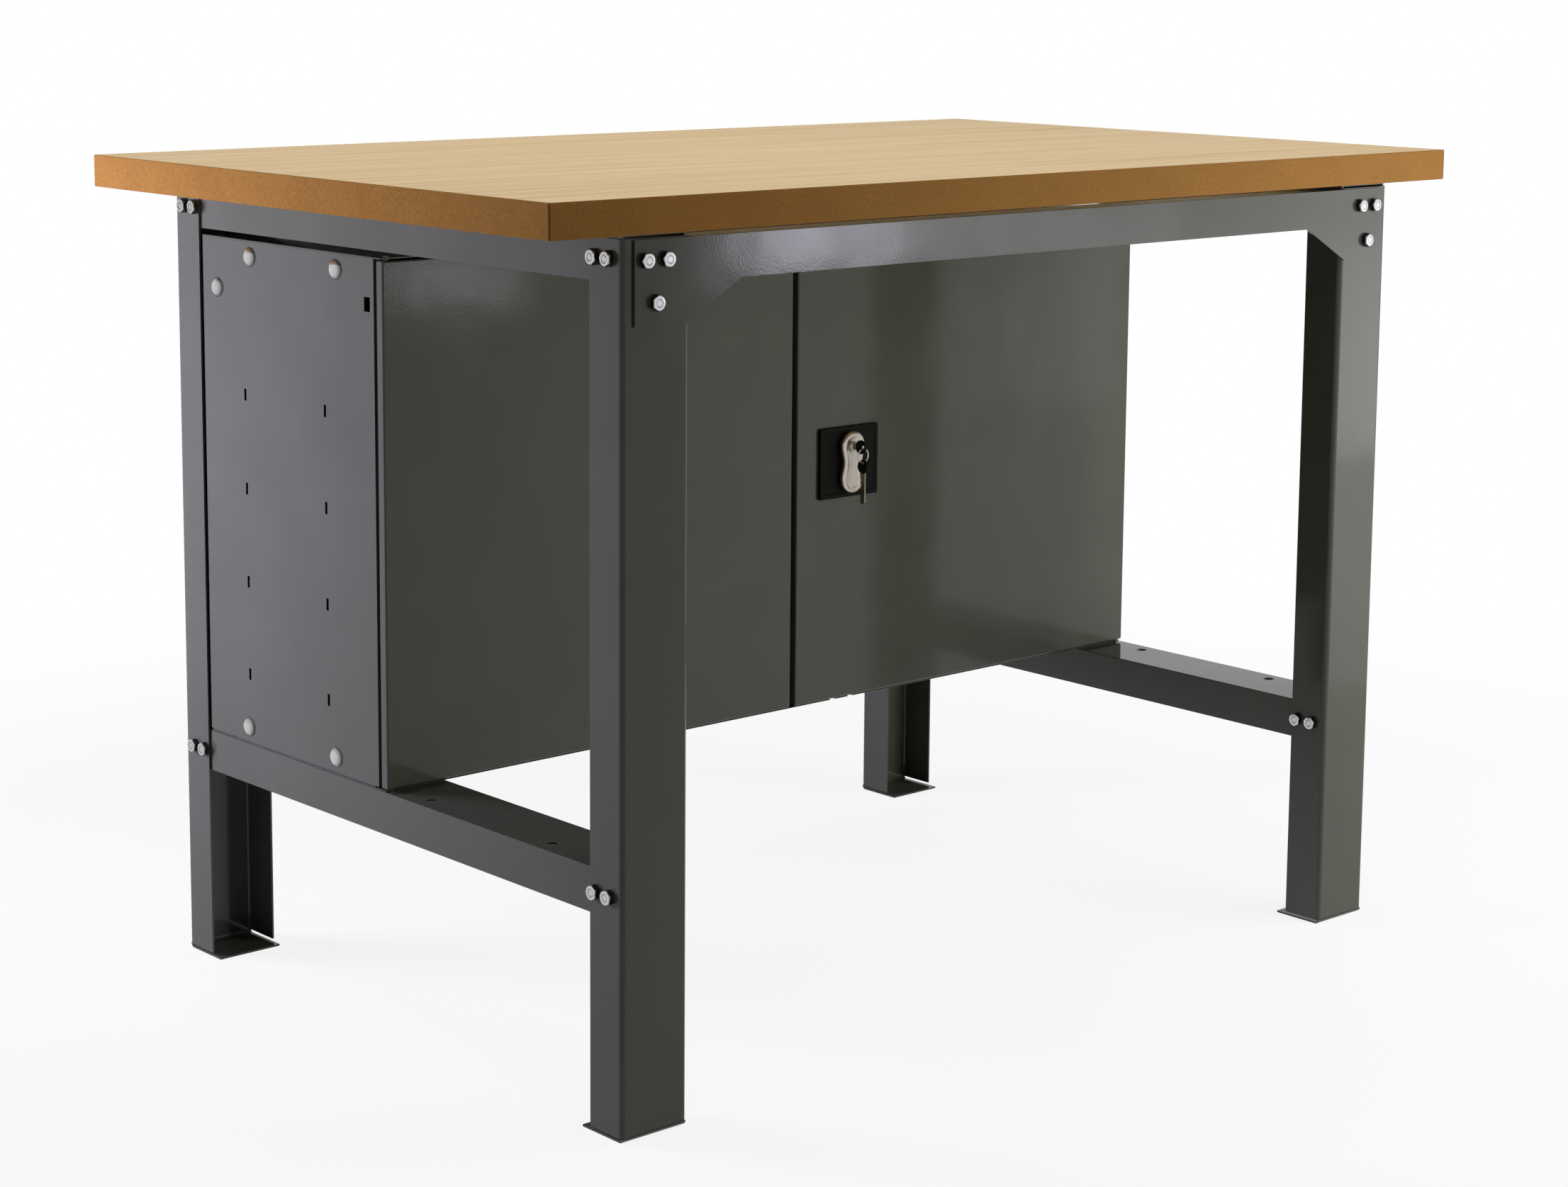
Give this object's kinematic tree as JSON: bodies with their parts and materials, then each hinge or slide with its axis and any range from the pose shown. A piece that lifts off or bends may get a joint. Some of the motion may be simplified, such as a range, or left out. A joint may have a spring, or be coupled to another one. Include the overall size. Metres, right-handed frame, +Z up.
{
  "type": "workbench with cabinet",
  "caption": "Steel-framed workbench with a thick wooden top, channel legs on folded feet and a shallow lockable cabinet with hinged doors in the back half of the frame.",
  "frame": {"origin": "on the floor, under the middle of the worktop", "axes": "+X along the bench to the right as seen from the front, -Y to the front, +Z up"},
  "size_m": [1.22, 0.75, 0.84],
  "materials": {
    "painted_steel": "semi_gloss",
    "wood_board": "satin",
    "zinc_steel": "satin",
    "black_plastic": "matte",
    "satin_metal": "satin"
  },
  "bodies": {
    "frame": {"worktop": "wood_board", "leg_front_left": "painted_steel", "leg_back_left": "painted_steel", "leg_front_right": "painted_steel", "leg_back_right": "painted_steel", "top_rail_left": "painted_steel", "lower_rail_left": "painted_steel", "top_rail_right": "painted_steel", "lower_rail_right": "painted_steel", "front_beam": "painted_steel", "back_beam": "painted_steel", "cabinet_side_left": "painted_steel", "cabinet_side_right": "painted_steel", "cabinet_roof": "painted_steel", "cabinet_floor": "painted_steel", "cabinet_back": "painted_steel", "cabinet_shelf": "painted_steel", "top_rail_bolts_front_left": "zinc_steel", "top_rail_bolts_back_left": "zinc_steel", "lower_rail_bolts_front_left": "zinc_steel", "lower_rail_bolts_back_left": "zinc_steel", "top_rail_bolts_front_right": "zinc_steel", "top_rail_bolts_back_right": "zinc_steel", "lower_rail_bolts_front_right": "zinc_steel", "lower_rail_bolts_back_right": "zinc_steel", "gusset_bolts_front_left": "zinc_steel", "gusset_bolts_front_right": "zinc_steel", "gusset_bolts_back_left": "zinc_steel", "gusset_bolts_back_right": "zinc_steel", "top_screw_front_left": "zinc_steel", "top_screw_back_left": "zinc_steel", "top_screw_front_right": "zinc_steel", "top_screw_back_right": "zinc_steel", "cabinet_bolt_roof_front_left": "zinc_steel", "cabinet_bolt_roof_back_left": "zinc_steel", "cabinet_bolt_floor_front_left": "zinc_steel", "cabinet_bolt_floor_back_left": "zinc_steel", "cabinet_bolt_back_top_left": "zinc_steel", "cabinet_bolt_roof_front_right": "zinc_steel", "cabinet_bolt_roof_back_right": "zinc_steel", "cabinet_bolt_floor_front_right": "zinc_steel", "cabinet_bolt_floor_back_right": "zinc_steel", "cabinet_bolt_back_top_right": "zinc_steel"},
    "left_door": {"door_left": "painted_steel", "hinge_pin_top_left": "zinc_steel", "hinge_pin_bottom_left": "zinc_steel"},
    "right_door": {"door_right": "painted_steel", "hinge_pin_top_right": "zinc_steel", "hinge_pin_bottom_right": "zinc_steel", "lock_plate": "black_plastic"},
    "handle": {"lock_handle": "satin_metal", "lock_cam": "zinc_steel"},
    "lock_key": {"lock_plug": "satin_metal", "key": "black_plastic"},
    "ring": {"key_ring": "zinc_steel"},
    "spare": {"spare_key": "black_plastic"},
    "upper_rod": {"lock_rod_upper": "zinc_steel"},
    "lower_rod": {"lock_rod_lower": "zinc_steel"}
  },
  "joints": [
    {"name": "left_door_hinge", "type": "hinge", "parent": "frame", "child": "left_door", "pos_m": [-0.5147, 0.002, 0.5], "axis": [0, 0, -1], "range_deg": [0, 68]},
    {"name": "right_door_hinge", "type": "hinge", "parent": "frame", "child": "right_door", "pos_m": [0.5147, 0.002, 0.5], "axis": [0, 0, 1], "range_deg": [0, 68]},
    {"name": "handle_turn", "type": "hinge", "parent": "right_door", "child": "handle", "pos_m": [0.0755, -0.014, 0.5233], "axis": [0, -1, 0], "range_deg": [0, 90]},
    {"name": "key_turn", "type": "hinge", "parent": "handle", "child": "lock_key", "pos_m": [0.0755, -0.0164, 0.5233], "axis": [0, -1, 0], "range_deg": [0, 90]},
    {"name": "ring_swing", "type": "hinge", "parent": "lock_key", "child": "ring", "pos_m": [0.0755, -0.0284, 0.5219], "axis": [-1, 0, 0], "range_deg": [0, 40]},
    {"name": "spare_key_swing", "type": "hinge", "parent": "ring", "child": "spare", "pos_m": [0.0755, -0.0284, 0.5075], "axis": [-1, 0, 0], "range_deg": [-12, 12]},
    {"name": "upper_rod_slide", "type": "slide", "parent": "right_door", "child": "upper_rod", "axis": [0, 0, 1], "range_m": [0, 0.006]},
    {"name": "lower_rod_slide", "type": "slide", "parent": "right_door", "child": "lower_rod", "axis": [0, 0, -1], "range_m": [0, 0.006]}
  ],
  "couplings": [
    {"joint": "upper_rod_slide", "follows": "handle_turn", "m_per_rad": 0.0038197},
    {"joint": "lower_rod_slide", "follows": "handle_turn", "m_per_rad": 0.0038197}
  ]
}
